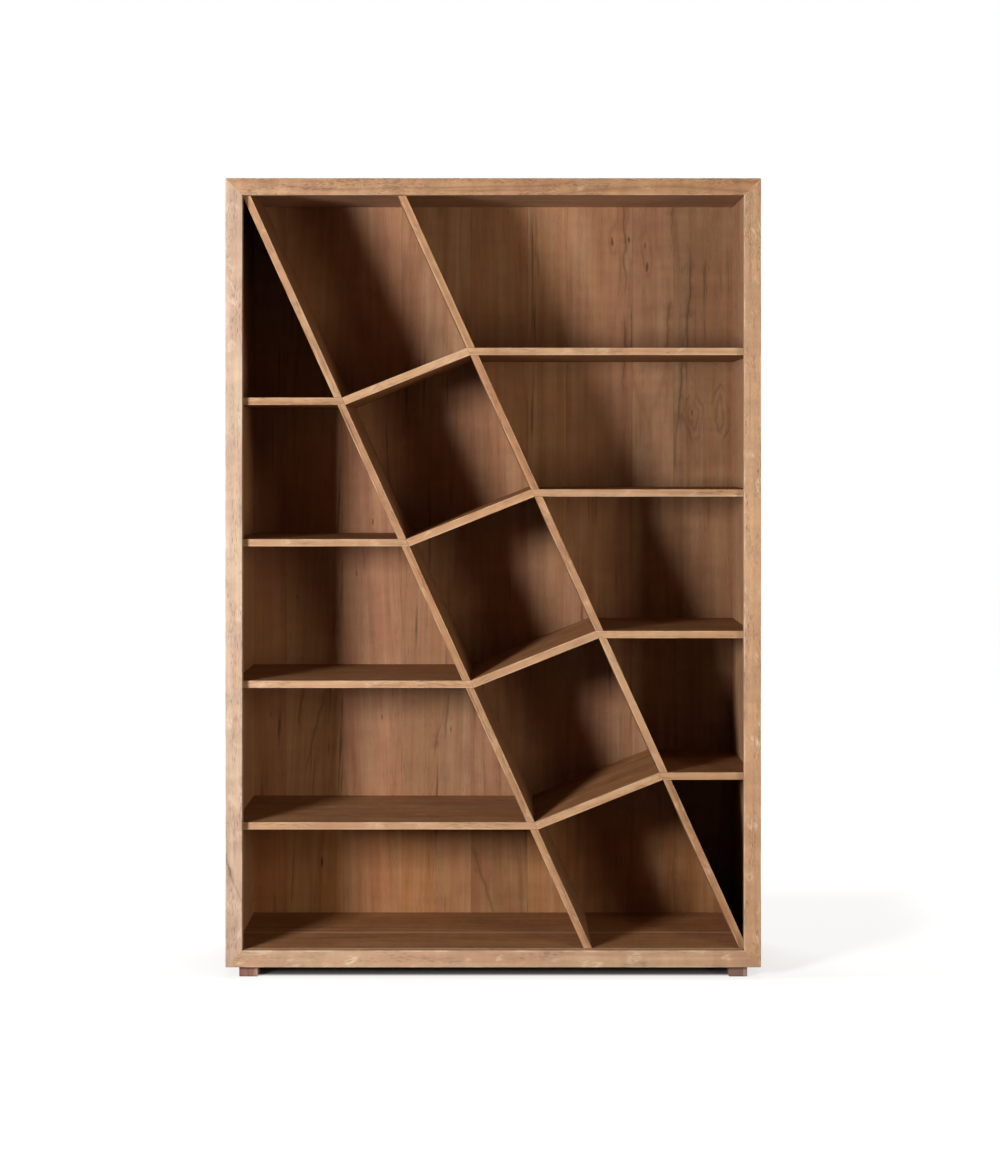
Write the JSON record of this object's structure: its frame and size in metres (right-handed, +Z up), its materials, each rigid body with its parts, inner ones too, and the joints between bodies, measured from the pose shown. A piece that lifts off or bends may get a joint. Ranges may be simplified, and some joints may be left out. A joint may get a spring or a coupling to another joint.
{
  "type": "zigzag bookcase",
  "caption": "Tall open wooden bookcase: a mitred face frame, parallel leaning dividers, shelves that climb between them in a zigzag, a boarded back and block feet, for books and objects.",
  "frame": {"origin": "on the floor, under the middle of the case", "axes": "+Z up, -Y out of the open front, +X to the right as seen from the front"},
  "size_m": [1.2, 0.38, 1.794],
  "materials": {
    "frame_teak": "sanded, unvarnished",
    "case_teak": "sanded, unvarnished",
    "shelf_teak": "sanded, unvarnished",
    "back_teak": "sanded, unvarnished",
    "foot_wood": "sanded, oiled",
    "dowel_wood": "plain",
    "screw_steel": "zinc plated"
  },
  "bodies": {
    "root": {"back_board_1": "back_teak", "back_board_2": "back_teak", "back_board_3": "back_teak", "back_board_4": "back_teak", "back_board_5": "back_teak", "back_board_6": "back_teak", "back_board_7": "back_teak", "back_board_8": "back_teak", "back_board_9": "back_teak", "back_screws": "screw_steel", "bottom_panel": "case_teak", "corner_splines": "dowel_wood", "divider_dowels": "dowel_wood", "foot_screws": "screw_steel", "frame_biscuits": "dowel_wood", "frame_bottom_rail": "frame_teak", "frame_dowels": "dowel_wood", "frame_left_stile": "frame_teak", "frame_right_stile": "frame_teak", "frame_top_rail": "frame_teak", "front_left_foot": "foot_wood", "front_right_foot": "foot_wood", "left_divider_1": "shelf_teak", "left_divider_2": "shelf_teak", "left_divider_3": "shelf_teak", "left_divider_4": "shelf_teak", "left_divider_5": "shelf_teak", "left_side": "case_teak", "rear_left_foot": "foot_wood", "rear_right_foot": "foot_wood", "right_divider_1": "shelf_teak", "right_divider_2": "shelf_teak", "right_divider_3": "shelf_teak", "right_divider_4": "shelf_teak", "right_divider_5": "shelf_teak", "right_side": "case_teak", "shelf_1_left": "shelf_teak", "shelf_1_middle": "shelf_teak", "shelf_1_right": "shelf_teak", "shelf_2_left": "shelf_teak", "shelf_2_middle": "shelf_teak", "shelf_2_right": "shelf_teak", "shelf_3_left": "shelf_teak", "shelf_3_middle": "shelf_teak", "shelf_3_right": "shelf_teak", "shelf_4_left": "shelf_teak", "shelf_4_middle": "shelf_teak", "shelf_4_right": "shelf_teak", "shelf_dowels": "dowel_wood", "top_panel": "case_teak"}
  },
  "joints": []
}
